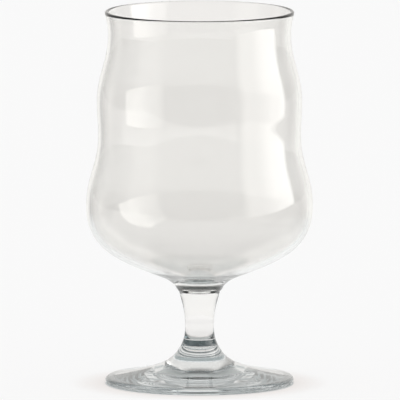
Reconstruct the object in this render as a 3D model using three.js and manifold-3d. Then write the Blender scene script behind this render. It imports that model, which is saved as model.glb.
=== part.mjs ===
import * as THREE from 'three';
import { mergeVertices, toCreasedNormals } from 'three/addons/utils/BufferGeometryUtils.js';
import Module from 'manifold-3d';

// A stemmed beer glass in three pieces that are welded hot: a blown bowl, a pressed stem and a
// pressed foot. Millimetres, with Z up along the axis of the glass. It stands on Z = 0.

// Heights above the table
const glassHeight = 146.4;
const throatHeight = 137.4;
const shoulderHeight = 110.8;
const waistHeight = 97.4;
const bellyHeight = 70.2;
const bowlFloorHeight = 42.6;
const collarHeight = 42.1;
const neckHeight = 37.3;
const bowlWeldHeight = 36;
const stemWaistHeight = 22.4;
const footWeldHeight = 15;

// Radii of the outside. The lip's is that of the middle of its round edge.
const lipRadius = 36.2;
const throatRadius = 35.7;
const shoulderRadius = 40.1;
const waistRadius = 39.6;
const bellyRadius = 44.3;
const collarRadius = 15;
const neckRadius = 8.9;
const bowlWeldRadius = 7.9;
const stemWaistRadius = 5.65;
const footWeldRadius = 7.3;
const footRadius = 36.8;

// Glass thickness. The wall thins evenly from the belly to the lip, and below the belly it keeps
// its thickness down to the edge of the floor.
const lipWall = 1.6;
const bellyWall = 1.8;
const floorEdgeRadius = 20;
const footEdgeThickness = 2.8;

// Slopes of the outline, as millimetres of height for each millimetre of radius
const collarSlope = 0.4;
const neckSlope = 1.9;
const bowlWeldSlope = 1.2;
const stemTopSlope = 5;
const footWeldSlope = 1.8;
const footEdgeSlope = 0.16;

// Angle of the lip's flare from upright
const lipFlare = THREE.MathUtils.degToRad(16);

// Reach of the curves' handles: a share of the sweep between two upright stretches of wall, and
// millimetres of height or radius elsewhere
const sweepShare = 0.4;
const bellyReach = 17.4;
const collarReach = 17.4;
const bowlFloorReach = 7;
const stemTopReach = 3;
const stemUpperReach = 7.1;
const stemLowerReach = 2;
const stemFootReach = 2.7;
const footWeldReach = 5;
const footEdgeReach = 23;

// The underside of the foot: a flat ring to stand on, round a shallow hollow with an eight-sided
// recess in its middle
const standingRingWidth = 2.4;
const hollowDepth = 1.2;
const recessSides = 8;
const recessAcrossFlats = 33;
const recessCeilingAcrossFlats = 24;
const recessDepth = 3;
const cutterOverrun = 1;

// Facets
const facetsAround = 64;
const facetLength = 5;
const fewestFacets = 4;
const creaseAngle = Math.PI / 6;

const wasm = await Module();
wasm.setup();

function glassMaterial(color) {
  return new THREE.MeshStandardMaterial({
    color,
    roughness: 0.04,
    metalness: 0,
    transparent: true,
    opacity: 0.4,
  });
}

// Facets of a curve by its length. A straight line is one facet.
function facetsOf(curve) {
  return curve.isLineCurve ? 1 : Math.max(fewestFacets, Math.round(curve.getLength() / facetLength));
}

function profilePoints(profile) {
  const points = [profile.curves[0].getPoint(0)];
  for (const curve of profile.curves) {
    points.push(...curve.getPoints(facetsOf(curve)).slice(1));
  }
  return points;
}

// A point's x is the radius and its y the height. The lathe turns the points about Y, and the
// turn about X then sets the glass upright on Z.
function revolve(points) {
  const geometry = new THREE.LatheGeometry(points, facetsAround);
  geometry.rotateX(Math.PI / 2);
  return geometry;
}

function makePiece(name, geometry, color) {
  const piece = new THREE.Mesh(toCreasedNormals(geometry, creaseAngle), glassMaterial(color));
  piece.name = name;
  return piece;
}

// An S-shaped sweep to the next height at which the wall stands upright.
function sweepUpright(profile, fromHeight, toRadius, toHeight) {
  const fromRadius = profile.currentPoint.x;
  const reach = (toHeight - fromHeight) * sweepShare;
  profile.bezierCurveTo(fromRadius, fromHeight + reach, toRadius, toHeight - reach, toRadius, toHeight);
}

// The point where two straight tangents meet, which draws the curve between them.
function tangentCorner(radiusA, heightA, slopeA, radiusB, heightB, slopeB) {
  const radius = (heightB - heightA + slopeA * radiusA - slopeB * radiusB) / (slopeA - slopeB);
  return new THREE.Vector2(radius, heightA + slopeA * (radius - radiusA));
}

// The rounded foot of the bowl: from the centre of its weld, a short button, the neck and the collar.
function bowlCollar() {
  const button = tangentCorner(
    bowlWeldRadius, bowlWeldHeight, bowlWeldSlope,
    neckRadius, neckHeight, neckSlope,
  );
  const corner = tangentCorner(
    neckRadius, neckHeight, neckSlope,
    collarRadius, collarHeight, collarSlope,
  );
  const profile = new THREE.Path();
  profile.moveTo(0, bowlWeldHeight);
  profile.lineTo(bowlWeldRadius, bowlWeldHeight);
  profile.quadraticCurveTo(button.x, button.y, neckRadius, neckHeight);
  profile.quadraticCurveTo(corner.x, corner.y, collarRadius, collarHeight);
  return profile;
}

// Outside of the bowl's wall, from the collar up to the flared lip.
function bowlOutside() {
  const lipOutsideRadius = lipRadius + lipWall / 2 * Math.cos(lipFlare);
  const lipOutsideHeight = glassHeight - lipWall / 2 - lipWall / 2 * Math.sin(lipFlare);
  const flareStart = lipOutsideHeight - (lipOutsideRadius - throatRadius) / Math.tan(lipFlare);
  const profile = new THREE.Path();
  profile.moveTo(collarRadius, collarHeight);
  profile.bezierCurveTo(
    collarRadius + collarReach, collarHeight + collarReach * collarSlope,
    bellyRadius, bellyHeight - bellyReach,
    bellyRadius, bellyHeight,
  );
  sweepUpright(profile, bellyHeight, waistRadius, waistHeight);
  sweepUpright(profile, waistHeight, shoulderRadius, shoulderHeight);
  sweepUpright(profile, shoulderHeight, throatRadius, throatHeight);
  profile.quadraticCurveTo(throatRadius, flareStart, lipOutsideRadius, lipOutsideHeight);
  return profile;
}

// The lip is melted round, and two arcs meet at its top.
function bowlLip() {
  const centreHeight = glassHeight - lipWall / 2;
  const profile = new THREE.Path();
  profile.absarc(lipRadius, centreHeight, lipWall / 2, -lipFlare, Math.PI / 2, false);
  profile.absarc(lipRadius, centreHeight, lipWall / 2, Math.PI / 2, Math.PI - lipFlare, false);
  return profile;
}

function wallAt(height) {
  const { clamp, mapLinear } = THREE.MathUtils;
  return mapLinear(clamp(height, bellyHeight, glassHeight), bellyHeight, glassHeight, bellyWall, lipWall);
}

// Inside of the bowl, from below the lip down to the centre of the floor. Each point of the wall
// is the outside's point moved square to it by the wall's thickness.
function insidePoints(outside) {
  const wall = [];
  for (const curve of outside.curves) {
    const facets = facetsOf(curve);
    for (let facet = 0; facet < facets; facet += 1) {
      const point = curve.getPoint(facet / facets);
      const along = curve.getTangent(facet / facets);
      const thickness = wallAt(point.y);
      if (point.x > floorEdgeRadius) {
        const inwards = new THREE.Vector2(-along.y, along.x);
        wall.push({ point: point.addScaledVector(inwards, thickness), along });
      }
    }
  }
  const edge = wall[0].point;
  const handle = edge.clone().addScaledVector(wall[0].along, -edge.x / 3);
  const floor = new THREE.CubicBezierCurve(
    edge,
    handle,
    new THREE.Vector2(bowlFloorReach, bowlFloorHeight),
    new THREE.Vector2(0, bowlFloorHeight),
  );
  const fromLip = wall.map((step) => step.point).reverse();
  return [...fromLip, ...floor.getPoints(facetsOf(floor)).slice(1)];
}

function makeBowl() {
  const outside = bowlOutside();
  const points = [
    ...profilePoints(bowlCollar()),
    ...profilePoints(outside).slice(1),
    ...profilePoints(bowlLip()).slice(1),
    ...insidePoints(outside),
  ];
  return makePiece('bowl', revolve(points), 0xe3e2de);
}

// The stem tapers from the bowl's weld to its own waist and flares again to the foot's weld.
function makeStem() {
  const profile = new THREE.Path();
  profile.moveTo(0, footWeldHeight);
  profile.lineTo(footWeldRadius, footWeldHeight);
  profile.bezierCurveTo(
    footWeldRadius - stemFootReach / footWeldSlope, footWeldHeight + stemFootReach,
    stemWaistRadius, stemWaistHeight - stemLowerReach,
    stemWaistRadius, stemWaistHeight,
  );
  profile.bezierCurveTo(
    stemWaistRadius, stemWaistHeight + stemUpperReach,
    bowlWeldRadius - stemTopReach / stemTopSlope, bowlWeldHeight - stemTopReach,
    bowlWeldRadius, bowlWeldHeight,
  );
  profile.lineTo(0, bowlWeldHeight);
  return makePiece('stem', revolve(profilePoints(profile)), 0xdfe1df);
}

// The pressed disc of the foot: a flat standing ring, a half-round edge and a flared top.
function footDisc() {
  const edgeRadius = footEdgeThickness / 2;
  const flatRadius = footRadius - edgeRadius;
  const hollowRadius = flatRadius - standingRingWidth;
  const profile = new THREE.Path();
  profile.moveTo(0, hollowDepth);
  profile.quadraticCurveTo(hollowRadius / 2, hollowDepth, hollowRadius, 0);
  profile.lineTo(flatRadius, 0);
  profile.absarc(flatRadius, edgeRadius, edgeRadius, -Math.PI / 2, Math.PI / 2, false);
  profile.bezierCurveTo(
    flatRadius - footEdgeReach, footEdgeThickness + footEdgeReach * footEdgeSlope,
    footWeldRadius + footWeldReach / footWeldSlope, footWeldHeight - footWeldReach,
    footWeldRadius, footWeldHeight,
  );
  profile.lineTo(0, footWeldHeight);
  return revolve(profilePoints(profile));
}

// The eight-sided recess is a frustum with one flat side to the front.
function recessTool() {
  const cornerFactor = 1 / Math.cos(Math.PI / recessSides) / 2;
  const slope = (recessAcrossFlats - recessCeilingAcrossFlats) / recessDepth;
  const tool = new THREE.CylinderGeometry(
    recessCeilingAcrossFlats * cornerFactor,
    (recessAcrossFlats + slope * cutterOverrun) * cornerFactor,
    recessDepth + cutterOverrun,
    recessSides,
  );
  tool.rotateX(Math.PI / 2);
  tool.rotateZ(Math.PI / recessSides);
  tool.translate(0, 0, (recessDepth - cutterOverrun) / 2);
  return tool;
}

// Merges the shared vertices, so that the library sees one closed surface.
function toSolid(geometry) {
  geometry.deleteAttribute('normal');
  geometry.deleteAttribute('uv');
  const merged = mergeVertices(geometry, 1e-4);
  return new wasm.Manifold(new wasm.Mesh({
    numProp: 3,
    vertProperties: merged.attributes.position.array,
    triVerts: new Uint32Array(merged.index.array),
  }));
}

function toGeometry(solid) {
  const mesh = solid.getMesh();
  const geometry = new THREE.BufferGeometry();
  geometry.setAttribute('position', new THREE.BufferAttribute(mesh.vertProperties, mesh.numProp));
  geometry.setIndex(new THREE.BufferAttribute(mesh.triVerts, 1));
  return geometry;
}

function makeFoot() {
  const solid = toSolid(footDisc()).subtract(toSolid(recessTool()));
  return makePiece('foot', toGeometry(solid), 0xc9cfce);
}

const beerGlass = new THREE.Group();
beerGlass.add(makeBowl());
beerGlass.add(makeStem());
beerGlass.add(makeFoot());

export default beerGlass;
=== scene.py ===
import math

import bpy
import numpy as np
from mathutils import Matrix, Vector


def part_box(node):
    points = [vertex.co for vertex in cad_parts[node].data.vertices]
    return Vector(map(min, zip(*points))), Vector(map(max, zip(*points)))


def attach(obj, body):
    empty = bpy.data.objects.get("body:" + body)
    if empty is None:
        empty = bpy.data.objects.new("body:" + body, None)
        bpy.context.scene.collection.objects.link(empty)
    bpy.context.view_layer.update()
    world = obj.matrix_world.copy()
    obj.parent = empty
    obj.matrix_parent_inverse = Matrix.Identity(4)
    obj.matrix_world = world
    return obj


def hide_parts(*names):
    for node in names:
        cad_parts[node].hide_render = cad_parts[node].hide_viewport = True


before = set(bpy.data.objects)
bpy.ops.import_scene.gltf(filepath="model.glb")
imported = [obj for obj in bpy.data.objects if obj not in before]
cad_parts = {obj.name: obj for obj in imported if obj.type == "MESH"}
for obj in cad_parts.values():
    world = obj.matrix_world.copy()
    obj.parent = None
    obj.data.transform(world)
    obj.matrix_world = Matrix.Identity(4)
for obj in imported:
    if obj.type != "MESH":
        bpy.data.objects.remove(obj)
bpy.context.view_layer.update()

scene = bpy.context.scene
millimetre = 0.001


def linearColour(hexColour):
    # sRGB hex such as "f2f4f3" turned to linear red, green and blue
    srgb = np.array([int(hexColour[i:i + 2], 16) for i in (0, 2, 4)]) / 255
    linear = np.where(srgb <= 0.04045, srgb / 12.92, ((srgb + 0.055) / 1.055) ** 2.4)
    return (*linear.tolist(), 1.0)


def addNode(tree, kind, settings=None, inputs=None):
    # One node with its settings, and its inputs as plain values or as links from other sockets
    node = tree.nodes.new(kind)
    for name, value in (settings or {}).items():
        setattr(node, name, value)
    for name, value in (inputs or {}).items():
        if isinstance(value, bpy.types.NodeSocket):
            tree.links.new(value, node.inputs[name])
        else:
            node.inputs[name].default_value = value
    return node


# Curves of a profile. Each gives an array of (radius, height), one point for each step, without
# the end point.

def straightRun(start, end, steps):
    # Evenly spaced from start towards end
    t = np.linspace(0, 1, steps, endpoint=False)[:, None]
    return (1 - t) * np.array(start) + t * np.array(end)


def cubicRun(start, handleA, handleB, end, steps):
    # Cubic curve that leaves start towards handleA and reaches end from handleB
    t = np.linspace(0, 1, steps, endpoint=False)[:, None]
    a, b, c, d = (np.array(p, dtype=float) for p in (start, handleA, handleB, end))
    return (1 - t) ** 3 * a + 3 * (1 - t) ** 2 * t * b + 3 * (1 - t) * t ** 2 * c + t ** 3 * d


def arcRun(centre, radius, fromAngle, toAngle, steps):
    # Part of a circle, with the angles in degrees from straight outwards
    angle = np.radians(np.linspace(fromAngle, toAngle, steps, endpoint=False))
    return np.column_stack([centre[0] + radius * np.cos(angle), centre[1] + radius * np.sin(angle)])


def uprightSweep(start, end, share, steps):
    # S-shaped curve between two heights at which the wall stands upright
    reach = (end[1] - start[1]) * share
    return cubicRun(start, (start[0], start[1] + reach), (end[0], end[1] - reach), end, steps)


def cornerOf(start, startSlope, end, endSlope):
    # Where the straight tangents at two points of the outline meet
    radius = (end[1] - start[1] + startSlope * start[0] - endSlope * end[0]) / (startSlope - endSlope)
    return np.array([radius, start[1] + startSlope * (radius - start[0])])


def quadraticRun(start, corner, end, steps):
    # Curve from start to end that is drawn towards one corner
    t = np.linspace(0, 1, steps, endpoint=False)[:, None]
    return (1 - t) ** 2 * np.array(start) + 2 * (1 - t) * t * np.array(corner) + t ** 2 * np.array(end)


def closedSurface(name, rings, capRows):
    # rings is a grid [row, column, xyz], whose first and last rows have shrunk to a point on the axis.
    # Rows of points are joined by quads, and by fans at the two ends. capRows are rows of faces, which
    # are flat and get the second material.
    rows, columns, _ = rings.shape
    vertices = np.vstack([rings[0, :1], rings[1:-1].reshape(-1, 3), rings[-1, :1]])
    column = np.arange(columns)
    following = (column + 1) % columns
    lastVertex = len(vertices) - 1
    ring = 1 + np.arange(rows - 3)[:, None] * columns
    quads = np.stack([
        ring + column, ring + following, ring + columns + following, ring + columns + column], axis=-1)
    lastRing = 1 + (rows - 3) * columns
    bottom = np.stack([np.zeros(columns, dtype=int), 1 + following, 1 + column], axis=-1)
    top = np.stack([np.full(columns, lastVertex), lastRing + column, lastRing + following], axis=-1)
    faces = bottom.tolist() + quads.reshape(-1, 4).tolist() + top.tolist()
    mesh = bpy.data.meshes.new(name)
    mesh.from_pydata(vertices.tolist(), [], faces)
    slots = np.zeros((rows - 1, columns), dtype=np.int32)
    for row in capRows:
        slots[row] = 1
    mesh.polygons.foreach_set("material_index", slots.ravel())
    mesh.polygons.foreach_set("use_smooth", slots.ravel() == 0)
    mesh.validate()
    piece = bpy.data.objects.new(name, mesh)
    scene.collection.objects.link(piece)
    return piece


def revolve(profile, columns):
    # Grid of the profile turned about the axis: x = r cos a, y = r sin a, z = height
    angle = np.arange(columns) / columns * 2 * np.pi
    radius = profile[:, 0:1]
    height = np.repeat(profile[:, 1:2], columns, axis=1)
    return np.stack([radius * np.cos(angle), radius * np.sin(angle), height], axis=-1)


# A weld's flat cap has three rows of points: its centre, halfway out and its edge. Each cap is
# moved a little into its piece, so that the two faces of a weld don't share a plane.
columnsAround = 192
capPoints = 3
weldGap = 0.01 * millimetre
lowerCap = (0, 1)      # rows of faces, counted from the first
upperCap = (-2, -1)    # and from the last


def cadHeights(node):
    # Lowest and highest point of a CAD node, in millimetres
    low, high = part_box(node)
    return low[2] / millimetre, high[2] / millimetre


def cadRadius(node):
    # Largest radius of a CAD node, in millimetres
    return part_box(node)[1][0] / millimetre


# Bowl, in millimetres, with the lip's flare in degrees. Slopes are height for each unit of radius.
bowlShape = {
    "throatRadius": 35.7, "throatHeight": 137.4,
    "shoulderRadius": 40.1, "shoulderHeight": 110.8,
    "waistRadius": 39.6, "waistHeight": 97.4,
    "bellyHeight": 70.2,
    "collarRadius": 15.0, "collarHeight": 42.1, "collarSlope": 0.4,
    "neckRadius": 8.9, "neckHeight": 37.3, "neckSlope": 1.9, "weldSlope": 1.2,
    "lipRadius": 36.2, "lipFlare": 16.0,
    "lipWall": 1.6, "bellyWall": 1.8,
    "cupRadius": 20.0, "floorHeight": 42.6, "floorReach": 7.0,
    "sweepShare": 0.4, "bellyReach": 17.4, "collarReach": 17.4,
}

# Radii of the two welds, which join pieces of the same width
bowlWeldRadius = 7.9
footWeldRadius = 7.3


def bowlProfile(shape):
    # From the weld's centre out, up the outside, over the round lip and down the inside to the floor.
    # A point of the inside is the outside's point moved inwards, square to the wall, by its thickness.
    weldHeight, topHeight = cadHeights("bowl")
    weld = (bowlWeldRadius, weldHeight)
    neck = (shape["neckRadius"], shape["neckHeight"])
    collar = (shape["collarRadius"], shape["collarHeight"])
    belly = (cadRadius("bowl"), shape["bellyHeight"])
    waist = (shape["waistRadius"], shape["waistHeight"])
    shoulder = (shape["shoulderRadius"], shape["shoulderHeight"])
    throat = (shape["throatRadius"], shape["throatHeight"])
    halfLip = shape["lipWall"] / 2
    flare = math.radians(shape["lipFlare"])
    lipCentre = (shape["lipRadius"], topHeight - halfLip)
    lip = (lipCentre[0] + halfLip * math.cos(flare), lipCentre[1] - halfLip * math.sin(flare))
    lipCorner = (throat[0], lip[1] - (lip[0] - throat[0]) / math.tan(flare))
    reach, share = shape["collarReach"], shape["sweepShare"]
    outside = np.vstack([
        cubicRun(collar, (collar[0] + reach, collar[1] + reach * shape["collarSlope"]),
                 (belly[0], belly[1] - shape["bellyReach"]), belly, steps=64),
        uprightSweep(belly, waist, share, steps=32),
        uprightSweep(waist, shoulder, share, steps=20),
        uprightSweep(shoulder, throat, share, steps=32),
        quadraticRun(throat, lipCorner, lip, steps=12),
        np.array([lip]),
    ])
    along = np.gradient(outside, axis=0)
    along /= np.linalg.norm(along, axis=1, keepdims=True)
    inwards = np.column_stack([-along[:, 1], along[:, 0]])
    thickness = np.interp(outside[:, 1], (belly[1], topHeight), (shape["bellyWall"], shape["lipWall"]))
    inside = (outside + inwards * thickness[:, None])[outside[:, 0] > shape["cupRadius"]][::-1]
    cup = inside[-1]
    cupSlope = (inside[-2, 1] - cup[1]) / (inside[-2, 0] - cup[0])
    cupReach = cup[0] / 3
    floorCentre = (0, shape["floorHeight"])
    neckCorner = cornerOf(weld, shape["weldSlope"], neck, shape["neckSlope"])
    collarCorner = cornerOf(neck, shape["neckSlope"], collar, shape["collarSlope"])
    return np.vstack([
        straightRun((0, weldHeight), weld, steps=2),
        quadraticRun(weld, neckCorner, neck, steps=10),
        quadraticRun(neck, collarCorner, collar, steps=16),
        outside[:-1],
        arcRun(lipCentre, halfLip, -shape["lipFlare"], 180 - shape["lipFlare"], steps=14),
        inside[:-1],
        cubicRun(cup, (cup[0] - cupReach, cup[1] - cupReach * cupSlope),
                 (shape["floorReach"], shape["floorHeight"]), floorCentre, steps=28),
        np.array([floorCentre]),
    ]) * millimetre


# Stem, in millimetres
stemShape = {
    "waistRadius": 5.65, "waistHeight": 22.4,
    "upperReach": 7.1, "lowerReach": 2.0, "topReach": 3.0, "topSlope": 5.0,
    "footReach": 2.7, "footWeldSlope": 1.8,
}


def stemProfile(shape):
    # From the foot's weld up to the bowl's weld, with a flat cap at each
    low, high = cadHeights("stem")
    waist = (shape["waistRadius"], shape["waistHeight"])
    return np.vstack([
        straightRun((0, low), (footWeldRadius, low), steps=2),
        cubicRun((footWeldRadius, low),
                 (footWeldRadius - shape["footReach"] / shape["footWeldSlope"], low + shape["footReach"]),
                 (waist[0], waist[1] - shape["lowerReach"]), waist, steps=16),
        cubicRun(waist, (waist[0], waist[1] + shape["upperReach"]),
                 (bowlWeldRadius - shape["topReach"] / shape["topSlope"], high - shape["topReach"]),
                 (bowlWeldRadius, high), steps=32),
        straightRun((bowlWeldRadius, high), (0, high), steps=2),
        np.array([(0, high)]),
    ]) * millimetre


# Foot, in millimetres
footShape = {
    "edgeThickness": 2.8, "edgeSlope": 0.16, "edgeReach": 23.0, "weldReach": 5.0, "weldSlope": 1.8,
    "standingRing": 2.4, "hollowDepth": 1.2,
    "recessSides": 8, "recessAcross": 33.0, "recessCeilingAcross": 24.0, "recessDepth": 3.0,
}


def footTop(shape):
    # From the standing ring round the edge and up the flare to the weld's centre
    low, high = cadHeights("foot")
    edge = shape["edgeThickness"] / 2
    flat = cadRadius("foot") - edge
    edgeTop = low + shape["edgeThickness"]
    return np.vstack([
        straightRun((flat - shape["standingRing"], low), (flat, low), steps=4),
        arcRun((flat, low + edge), edge, -90, 90, steps=24),
        cubicRun((flat, edgeTop),
                 (flat - shape["edgeReach"], edgeTop + shape["edgeReach"] * shape["edgeSlope"]),
                 (footWeldRadius + shape["weldReach"] / shape["weldSlope"], high - shape["weldReach"]),
                 (footWeldRadius, high), steps=64),
        straightRun((footWeldRadius, high), (0, high), steps=2),
        np.array([(0, high)]),
    ]) * millimetre


def footUnderside(shape, columns):
    # Rows from the centre of the recess's ceiling out to the standing ring. A row's radius is its
    # distance to a flat side, divided by cos of the angle from that side's middle, and it turns
    # from the eight-sided outline into a circle between the recess and the standing ring. Between
    # these the hollow's height is its depth times 1 - (r / R) squared.
    low, _ = cadHeights("foot")
    edge = shape["edgeThickness"] / 2
    hollowRadius = cadRadius("foot") - edge - shape["standingRing"]
    angle = np.arange(columns) / columns * 2 * np.pi
    sideAngle = 2 * np.pi / shape["recessSides"]
    fromMiddle = (angle + sideAngle / 2) % sideAngle - sideAngle / 2
    sidedness = 1 / np.cos(fromMiddle)
    ceiling = shape["recessCeilingAcross"] / 2
    mouth = shape["recessAcross"] / 2
    mouthHeight = low + shape["hollowDepth"] * (1 - (mouth / hollowRadius) ** 2)
    ceilingHeight = low + shape["recessDepth"]
    profile = np.vstack([
        straightRun((0, ceilingHeight), (ceiling, ceilingHeight), steps=10),
        straightRun((ceiling, ceilingHeight), (mouth, mouthHeight), steps=8),
        straightRun((mouth, mouthHeight), (hollowRadius, low), steps=20),
    ])
    outer = profile[:, 0] > mouth
    profile[outer, 1] = low + shape["hollowDepth"] * (1 - (profile[outer, 0] / hollowRadius) ** 2)
    circular = np.clip((profile[:, 0] - mouth) / (hollowRadius - mouth), 0, 1)[:, None]
    radius = profile[:, 0:1] * (sidedness * (1 - circular) + circular)
    height = np.repeat(profile[:, 1:2], columns, axis=1)
    return np.stack([radius * np.cos(angle), radius * np.sin(angle), height], axis=-1) * millimetre


# Materials

def clearGlass(name, look):
    # Clear soda-lime glass, melted smooth: it bends what is behind it, shows lamps as clean
    # highlights, and is faintly grey-blue where it is thick. Light on its way to the table goes
    # straight through and loses a little at each face, which leaves a soft even shadow.
    material = bpy.data.materials.new(name)
    material.use_nodes = True
    tree = material.node_tree
    tree.nodes.clear()
    place = addNode(tree, "ShaderNodeTexCoord")
    waves = addNode(tree, "ShaderNodeTexNoise", inputs={
        "Vector": place.outputs["Object"], "Scale": 1 / (look["waveLength"] * millimetre), "Detail": 1.0})
    bump = addNode(tree, "ShaderNodeBump", inputs={
        "Height": waves.outputs["Fac"], "Distance": look["waveHeight"] * millimetre, "Strength": 1.0})
    glass = addNode(tree, "ShaderNodeBsdfPrincipled", inputs={
        "Base Color": linearColour(look["surface"]), "Roughness": look["roughness"], "IOR": 1.52,
        "Transmission Weight": 1.0, "Normal": bump.outputs["Normal"]})
    shade = addNode(tree, "ShaderNodeBsdfTransparent", inputs={"Color": linearColour(look["shadow"])})
    path = addNode(tree, "ShaderNodeLightPath")
    toTable = addNode(tree, "ShaderNodeMath", {"operation": "MAXIMUM"}, {
        0: path.outputs["Is Shadow Ray"], 1: path.outputs["Is Diffuse Ray"]})
    surface = addNode(tree, "ShaderNodeMixShader", inputs={
        0: toTable.outputs["Value"], 1: glass.outputs["BSDF"], 2: shade.outputs["BSDF"]})
    depth = addNode(tree, "ShaderNodeVolumeAbsorption", inputs={
        "Color": linearColour(look["depthColour"]), "Density": look["depthDensity"]})
    addNode(tree, "ShaderNodeOutputMaterial", inputs={
        "Surface": surface.outputs["Shader"], "Volume": depth.outputs["Volume"]})
    return material


def weldMaterial():
    # The two faces of a weld have melted into one, so nothing shows there
    material = bpy.data.materials.new("fused weld")
    material.use_nodes = True
    tree = material.node_tree
    tree.nodes.clear()
    clear = addNode(tree, "ShaderNodeBsdfTransparent")
    addNode(tree, "ShaderNodeOutputMaterial", inputs={"Surface": clear.outputs["BSDF"]})
    return material


# Blown glass is thin and nearly colourless, with long shallow waves from the turning mould, and its
# wall lets nearly all light down to the table. Pressed glass is thick, so it is a little bluer and
# throws a greyer shade, and its waves are shorter. Wave sizes are millimetres.
blownLook = {"surface": "f9f9f8", "roughness": 0.0, "waveLength": 14.0, "waveHeight": 0.002,
             "shadow": "fbf9f8", "depthColour": "c9d6d2", "depthDensity": 2.0}
pressedLook = {"surface": "ffffff", "roughness": 0.0, "waveLength": 9.0, "waveHeight": 0.002,
               "shadow": "dde2e3", "depthColour": "b8ccd2", "depthDensity": 5.0}

blownGlass = clearGlass("blown clear glass", blownLook)
pressedGlass = clearGlass("pressed clear glass", pressedLook)
fusedWeld = weldMaterial()


def dress(piece, node, material):
    # Glass all over, apart from the caps of the welds
    piece.data.materials.append(material)
    piece.data.materials.append(fusedWeld)
    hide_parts(node)
    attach(piece, "root")


def makeBowl():
    rings = revolve(bowlProfile(bowlShape), columnsAround)
    rings[:capPoints, :, 2] += weldGap
    piece = closedSurface("blown_bowl", rings, lowerCap)
    dress(piece, "bowl", blownGlass)


def makeStem():
    rings = revolve(stemProfile(stemShape), columnsAround)
    rings[:capPoints, :, 2] += weldGap
    rings[-capPoints:, :, 2] -= weldGap
    piece = closedSurface("pressed_stem", rings, lowerCap + upperCap)
    dress(piece, "stem", pressedGlass)


def makeFoot():
    top = revolve(footTop(footShape), columnsAround)
    under = footUnderside(footShape, columnsAround)
    rings = np.concatenate([under, top])
    rings[-capPoints:, :, 2] -= weldGap
    piece = closedSurface("pressed_foot", rings, upperCap)
    dress(piece, "foot", pressedGlass)


makeBowl()
makeStem()
makeFoot()
print("glass pieces made")


# Studio

# What light sees of the room round the glass, as strengths. Mirrored light sees the panels and the
# dark between them. Light that has only passed through the glass sees a pale sweep all round, up
# to the soft edge of a dark ceiling, in degrees. The table gets even light from all round, and
# the camera sees white.
room = {
    "dark": 0.10,
    "sweep": 0.88, "ceilingEdge": 34, "ceilingSoftness": 8,
    "aroundTable": 0.32,
    "white": 0.956,
    "lampTint": "fffdfa",
}

# Panels of the room, in degrees: azimuth from the camera's side and positive to its right,
# elevation from the horizon. Each fades over its soft edges (left, right, lower, upper), and
# several may overlap.
panels = {
    "backdrop": {
        "azimuth": (138, 212), "elevation": (-90, 34), "softness": (8, 8, 8, 8), "strength": 0.45},
    "side walls": {
        "azimuth": (125, 247), "elevation": (-90, 34), "softness": (6, 8, 8, 8), "strength": 0.32},
    "left light": {
        "azimuth": (-82, -50), "elevation": (-30, 40), "softness": (6, 8, 4, 8), "strength": 0.4},
}
wholeTurn = 360
degreesPerRadian = 180 / math.pi


def softPatch(tree, steps, strength):
    # The strength times smooth steps, each from 0 at its first limit to 1 at its second. A step
    # whose first limit is the higher one falls.
    for value, first, second in steps:
        step = addNode(tree, "ShaderNodeMapRange", {"interpolation_type": "SMOOTHSTEP"}, {
            "Value": value, "From Min": first, "From Max": second})
        strength = addNode(tree, "ShaderNodeMath", {"operation": "MULTIPLY"}, {
            0: step.outputs["Result"], 1: strength}).outputs["Value"]
    return strength


def layeredColour(tree, colour, layers):
    # Each layer covers the colour under it by its share
    for share, layer in layers:
        colour = addNode(tree, "ShaderNodeMix", {"data_type": "RGBA"}, {
            "Factor": share, "A": colour, "B": layer}).outputs["Result"]
    return colour


def azimuthOf(tree, axes):
    # Degrees round the glass, 0 towards the camera and positive to its right
    towardsCamera = addNode(tree, "ShaderNodeMath", {"operation": "MULTIPLY"}, {
        0: axes.outputs["Y"], 1: -1.0})
    turn = addNode(tree, "ShaderNodeMath", {"operation": "ARCTAN2"}, {
        0: axes.outputs["X"], 1: towardsCamera.outputs["Value"]})
    return addNode(tree, "ShaderNodeMath", {"operation": "MULTIPLY"}, {
        0: turn.outputs["Value"], 1: degreesPerRadian}).outputs["Value"]


def mirroredOnce(tree, path):
    # 1 for light that a surface has mirrored on its way, 0 for light that has only passed through
    return addNode(tree, "ShaderNodeMath", {"operation": "GREATER_THAN"}, {
        0: path.outputs["Glossy Depth"], 1: 0.5}).outputs["Value"]


def panelLight(tree, azimuth, elevation, panel, turn):
    # Light of a panel in a direction: it rises at the left and lower edge and falls at the right
    # and upper edge. turn is taken off its azimuth.
    left, right, lower, upper = panel["softness"]
    west, east = (angle - turn for angle in panel["azimuth"])
    bottom, top = panel["elevation"]
    return softPatch(tree, [
        (azimuth, west - left, west + left), (azimuth, east + right, east - right),
        (elevation, bottom - lower, bottom + lower), (elevation, top + upper, top - upper),
    ], panel["strength"])


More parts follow.
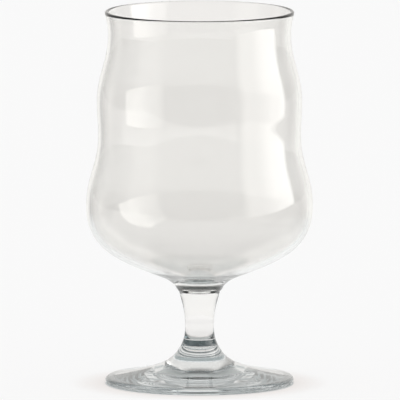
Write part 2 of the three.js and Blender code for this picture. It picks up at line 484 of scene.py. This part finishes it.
def makeWorld():
    world = bpy.data.worlds.new("studio")
    scene.world = world
    world.use_nodes = True
    tree = world.node_tree
    tree.nodes.clear()
    place = addNode(tree, "ShaderNodeTexCoord")
    path = addNode(tree, "ShaderNodeLightPath")
    axes = addNode(tree, "ShaderNodeSeparateXYZ", inputs={"Vector": place.outputs["Generated"]})
    azimuth = azimuthOf(tree, axes)
    rise = addNode(tree, "ShaderNodeMath", {"operation": "ARCSINE"}, {0: axes.outputs["Z"]})
    elevation = addNode(tree, "ShaderNodeMath", {"operation": "MULTIPLY"}, {
        0: rise.outputs["Value"], 1: degreesPerRadian}).outputs["Value"]

    # The azimuth jumps from 180 to -180 straight behind, so a panel that lies across that line is
    # added twice, a whole turn apart
    mirrored = room["dark"]
    for panel in panels.values():
        across = panel["azimuth"][1] > wholeTurn / 2
        for turn in ((0, wholeTurn) if across else (0,)):
            light = panelLight(tree, azimuth, elevation, panel, turn)
            mirrored = addNode(tree, "ShaderNodeMath", {"operation": "ADD"}, {
                0: mirrored, 1: light}).outputs["Value"]

    edge, soft = room["ceilingEdge"], room["ceilingSoftness"]
    passed = addNode(tree, "ShaderNodeMath", {"operation": "ADD"}, {
        0: softPatch(tree, [(elevation, edge + soft, edge - soft)], room["sweep"]), 1: room["dark"]})
    byGlass = addNode(tree, "ShaderNodeMix", {"data_type": "FLOAT"}, {
        "Factor": mirroredOnce(tree, path), "A": passed.outputs["Value"], "B": mirrored})
    fromGlass = addNode(tree, "ShaderNodeMath", {"operation": "MAXIMUM"}, {
        0: path.outputs["Is Glossy Ray"], 1: path.outputs["Is Transmission Ray"]})
    indirect = addNode(tree, "ShaderNodeMix", {"data_type": "FLOAT"}, {
        "Factor": fromGlass.outputs["Value"], "A": room["aroundTable"], "B": byGlass.outputs["Result"]})
    strength = addNode(tree, "ShaderNodeMix", {"data_type": "FLOAT"}, {
        "Factor": path.outputs["Is Camera Ray"], "A": indirect.outputs["Result"], "B": room["white"]})
    tint = layeredColour(tree, linearColour("ffffff"), [
        (fromGlass.outputs["Value"], linearColour(room["lampTint"]))])
    background = addNode(tree, "ShaderNodeBackground", inputs={
        "Color": tint, "Strength": strength.outputs["Result"]})
    addNode(tree, "ShaderNodeOutputWorld", inputs={"Surface": background.outputs["Background"]})


# Softbox close to the right of the glass, in metres: its distance from the axis, the (y, z) of its
# corners, the y over which its cloth turns pale and then bright from front to back, and the height
# over which it fades at the top. Light that was mirrored more often inside the glass misses it.
softbox = {
    "distance": 0.235,
    "corners": [(-0.27, 0.024), (0.065, 0.071), (0.065, 0.45), (-0.27, 0.45)],
    "pale": (-0.27, -0.17), "paleStrength": 1.2,
    "bright": (-0.13, -0.01), "brightStrength": 1.3,
    "top": (0.44, 0.37),
    "mostMirrorings": 3,
}


def makeSoftbox():
    # White diffusing cloth over lamps, which gives long highlights with soft left and sharp right
    # edges. Only mirrored light sees it, so it doesn't light the table or stand in the view.
    mesh = bpy.data.meshes.new("softbox")
    corners = softbox["corners"]
    mesh.from_pydata([(softbox["distance"], y, z) for y, z in corners], [], [tuple(range(len(corners)))])
    panel = bpy.data.objects.new("softbox", mesh)
    scene.collection.objects.link(panel)
    material = bpy.data.materials.new("softbox cloth")
    material.use_nodes = True
    tree = material.node_tree
    tree.nodes.clear()
    place = addNode(tree, "ShaderNodeTexCoord")
    path = addNode(tree, "ShaderNodeLightPath")
    axes = addNode(tree, "ShaderNodeSeparateXYZ", inputs={"Vector": place.outputs["Object"]})
    depth, height = axes.outputs["Y"], axes.outputs["Z"]
    cloth = addNode(tree, "ShaderNodeMath", {"operation": "ADD"}, {
        0: softPatch(tree, [(depth, *softbox["pale"])], softbox["paleStrength"]),
        1: softPatch(tree, [(depth, *softbox["bright"])], softbox["brightStrength"])})
    glow = addNode(tree, "ShaderNodeEmission", inputs={
        "Color": linearColour(room["lampTint"]),
        "Strength": softPatch(tree, [(height, *softbox["top"])], cloth.outputs["Value"])})
    clear = addNode(tree, "ShaderNodeBsdfTransparent")
    seldomMirrored = addNode(tree, "ShaderNodeMath", {"operation": "LESS_THAN"}, {
        0: path.outputs["Glossy Depth"], 1: softbox["mostMirrorings"] + 0.5})
    seen = addNode(tree, "ShaderNodeMath", {"operation": "MULTIPLY"}, {
        0: mirroredOnce(tree, path), 1: seldomMirrored.outputs["Value"]})
    surface = addNode(tree, "ShaderNodeMixShader", inputs={
        0: seen.outputs["Value"], 1: clear.outputs["BSDF"], 2: glow.outputs["Emission"]})
    addNode(tree, "ShaderNodeOutputMaterial", inputs={"Surface": surface.outputs["Shader"]})
    material.cycles.emission_sampling = "NONE"
    mesh.materials.append(material)
    panel.visible_camera = False


# Table top: corners and distances from the glass in metres, azimuths in degrees. The camera sees
# plain paper. Light that passed through the glass sees painted shade near the glass, which turns
# to the far colour. Mirrored light sees a near, a side and a rear colour, and a lit patch to the
# left: painted shade near the glass, deeper painted shade at the front and sides, a lighter rear,
# and painted light in the patch.
table = {
    "corners": [(-0.94, -0.47), (3, -0.47), (3, 30), (-3, 30), (-3, 3), (-0.94, 0.5)],
    "paper": "f3f3f3",
    "passedNearShade": "efedeb", "passedFar": "f7f5f3", "passedFade": (0.2, 0.75),
    "mirroredNearShade": "e3e4e4", "mirroredSidesShade": "bcbab9", "mirroredRear": "f3f2ef",
    "mirroredFade": (0.22, 0.5), "rear": (134, 152), "rearTurn": 8,
    "patch": "f3f1ef", "patchAzimuth": (-97, -49), "patchSoftness": (4, 6), "patchFade": (0.12, 0.3),
}


def makeFloor():
    # White paper on a table: matt, and even where the camera sees it, so that it carries the soft
    # shadow. Its left and front edges lie near enough for the glass to mirror them. What light that
    # passed through or was mirrored by the glass sees of it is painted with shade and light.
    mesh = bpy.data.meshes.new("floor")
    corners = table["corners"]
    mesh.from_pydata([(x, y, 0) for x, y in corners], [], [tuple(range(len(corners)))])
    floor = bpy.data.objects.new("floor", mesh)
    scene.collection.objects.link(floor)
    material = bpy.data.materials.new("white table paper")
    material.use_nodes = True
    tree = material.node_tree
    tree.nodes.clear()
    place = addNode(tree, "ShaderNodeTexCoord")
    path = addNode(tree, "ShaderNodeLightPath")
    axes = addNode(tree, "ShaderNodeSeparateXYZ", inputs={"Vector": place.outputs["Object"]})
    azimuth = azimuthOf(tree, axes)
    distance = addNode(tree, "ShaderNodeVectorMath", {"operation": "LENGTH"}, {
        0: place.outputs["Object"]}).outputs["Value"]
    turned = addNode(tree, "ShaderNodeMath", {"operation": "ADD"}, {0: azimuth, 1: table["rearTurn"]})
    fromFront = addNode(tree, "ShaderNodeMath", {"operation": "ABSOLUTE"}, {
        0: turned.outputs["Value"]}).outputs["Value"]
    colours = {name: linearColour(table[name]) for name in (
        "paper", "passedNearShade", "passedFar", "mirroredNearShade", "mirroredSidesShade", "mirroredRear", "patch")}
    # Painted shade near the glass, for light that passed through it
    passed = layeredColour(tree, colours["passedNearShade"], [
        (softPatch(tree, [(distance, *table["passedFade"])], 1.0), colours["passedFar"])])
    # Painted shade at the front and sides and a lighter rear, for mirrored light
    far = layeredColour(tree, colours["mirroredSidesShade"], [
        (softPatch(tree, [(fromFront, *table["rear"])], 1.0), colours["mirroredRear"])])
    # Painted light of the lit patch to the left, for mirrored light
    left, right = table["patchAzimuth"]
    softLeft, softRight = table["patchSoftness"]
    lit = softPatch(tree, [
        (azimuth, left - softLeft, left + softLeft), (azimuth, right + softRight, right - softRight),
        (distance, *table["patchFade"]),
    ], 1.0)
    # Painted shade near the glass for mirrored light, under the far colours and the lit patch
    mirrored = layeredColour(tree, colours["mirroredNearShade"], [
        (softPatch(tree, [(distance, *table["mirroredFade"])], 1.0), far), (lit, colours["patch"])])
    # The camera sees plain paper, and the glass sees the painted shade and light
    colour = layeredColour(tree, passed, [
        (mirroredOnce(tree, path), mirrored), (path.outputs["Is Camera Ray"], colours["paper"])])
    paper = addNode(tree, "ShaderNodeBsdfDiffuse", inputs={"Color": colour})
    addNode(tree, "ShaderNodeOutputMaterial", inputs={"Surface": paper.outputs["BSDF"]})
    mesh.materials.append(material)


# Lamp far above, in degrees across. At a strength of 1 it lights white paper to full white.
overhead = {"strength": 0.74, "width": 12.0}


def makeOverhead():
    # It lights the table and throws the soft round shadow
    light = bpy.data.lights.new("overhead", "SUN")
    light.energy = math.pi * overhead["strength"]
    light.angle = math.radians(overhead["width"])
    lamp = bpy.data.objects.new("overhead", light)
    scene.collection.objects.link(lamp)
    lamp.visible_glossy = False
    lamp.visible_transmission = False


makeFloor()
makeSoftbox()
makeOverhead()
makeWorld()
print("studio made")


# Camera with a long lens: metres from the foot, degrees above it, pixels of the square picture and
# millimetres of the glass that each shows. The glass stands on a point that lies below the middle
# of the picture and left of it, in pixels.
view = {
    "distance": 6.0, "elevation": 7.8,
    "pictureSize": 400, "pixelSize": 0.3906,
    "footBelow": 182.8, "footLeft": 0.5,
    "sensorWidth": 36.0, "clipEnd": 100,
}


def makeCamera():
    data = bpy.data.cameras.new("camera")
    camera = bpy.data.objects.new("camera", data)
    scene.collection.objects.link(camera)
    distance, elevation = view["distance"], math.radians(view["elevation"])
    pixel = view["pixelSize"] * millimetre
    aimHeight = view["footBelow"] * pixel / math.cos(elevation)
    camera.location = (
        view["footLeft"] * pixel, -distance * math.cos(elevation), distance * math.sin(elevation))
    direction = np.array([0, -camera.location[1], aimHeight - camera.location[2]])
    camera.rotation_euler = (math.pi / 2 + math.atan2(direction[2], direction[1]), 0, 0)
    data.sensor_width = view["sensorWidth"]
    reach = float(np.linalg.norm(direction))
    data.lens = view["sensorWidth"] * reach / (view["pictureSize"] * pixel)
    data.clip_end = view["clipEnd"]
    scene.camera = camera


# Light runs round inside thick glass many times before it leaves, and crosses welds on the way. Its
# reflections stay sharp all the while.
bounces = {"inGlass": 32, "throughWelds": 64}


def setBounces():
    scene.cycles.max_bounces = bounces["inGlass"]
    scene.cycles.glossy_bounces = bounces["inGlass"]
    scene.cycles.transmission_bounces = bounces["inGlass"]
    scene.cycles.transparent_max_bounces = bounces["throughWelds"]
    scene.cycles.blur_glossy = 0.0


makeCamera()
setBounces()
scene.view_settings.view_transform = "Standard"
print("camera set")
